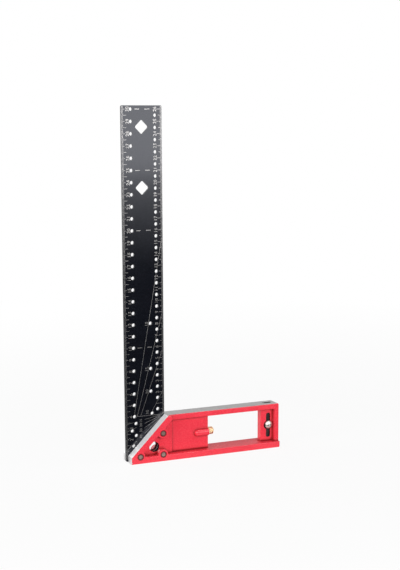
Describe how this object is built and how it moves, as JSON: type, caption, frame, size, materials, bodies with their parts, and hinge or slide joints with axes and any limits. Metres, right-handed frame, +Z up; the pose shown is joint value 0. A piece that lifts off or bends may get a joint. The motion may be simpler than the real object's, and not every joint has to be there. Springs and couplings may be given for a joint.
{
  "type": "try and mitre square",
  "caption": "Carpenter's try and mitre square: perforated steel blade riveted in a cast stock, with a pull-out scriber and a sliding ledge bar.",
  "frame": {"origin": "on the base of the stock, under the middle of the reach, in the blade's middle plane", "axes": "+X along the stock away from the blade, +Y through the thickness towards the back, +Z up the blade"},
  "size_m": [0.145, 0.02, 0.303],
  "materials": {
    "painted_stock": "red paint, satin, with milled bare edges",
    "black_blade": "satin",
    "rivet_steel": "satin",
    "turned_brass": "polished",
    "needle_steel": "polished",
    "nickel_button": "polished",
    "blackened_bar": "satin",
    "spring_steel": "satin",
    "ring_rubber": "matte"
  },
  "bodies": {
    "root": {"stock": "painted_stock", "blade": "black_blade", "blade_rivets": "rivet_steel"},
    "ledge": {"ledge_bar": "blackened_bar", "brake_spring": "spring_steel"},
    "button": {"ledge_button": "nickel_button", "brake_shoe": "blackened_bar"},
    "scriber_ring": {"scriber_o_ring": "ring_rubber"},
    "scriber": {"scriber_handle": "turned_brass", "scriber_needle": "needle_steel"}
  },
  "joints": [
    {"name": "ledge_slide", "type": "slide", "parent": "root", "child": "ledge", "axis": [0, 0, 1], "range_m": [-0.01, 0.0088]},
    {"name": "button_press", "type": "slide", "parent": "ledge", "child": "button", "axis": [0, 1, 0], "range_m": [0, 0.0008], "stiffness_N_per_m": 1500, "springref_m": -0.001, "deforming": ["brake_spring"]},
    {"name": "scriber_pull", "type": "slide", "parent": "root", "child": "scriber_ring", "axis": [1, 0, 0], "range_m": [0, 0.036]},
    {"name": "scriber_spin", "type": "hinge", "parent": "scriber_ring", "child": "scriber", "pos_m": [0, 0, 0.0202], "axis": [1, 0, 0], "continuous": true}
  ]
}
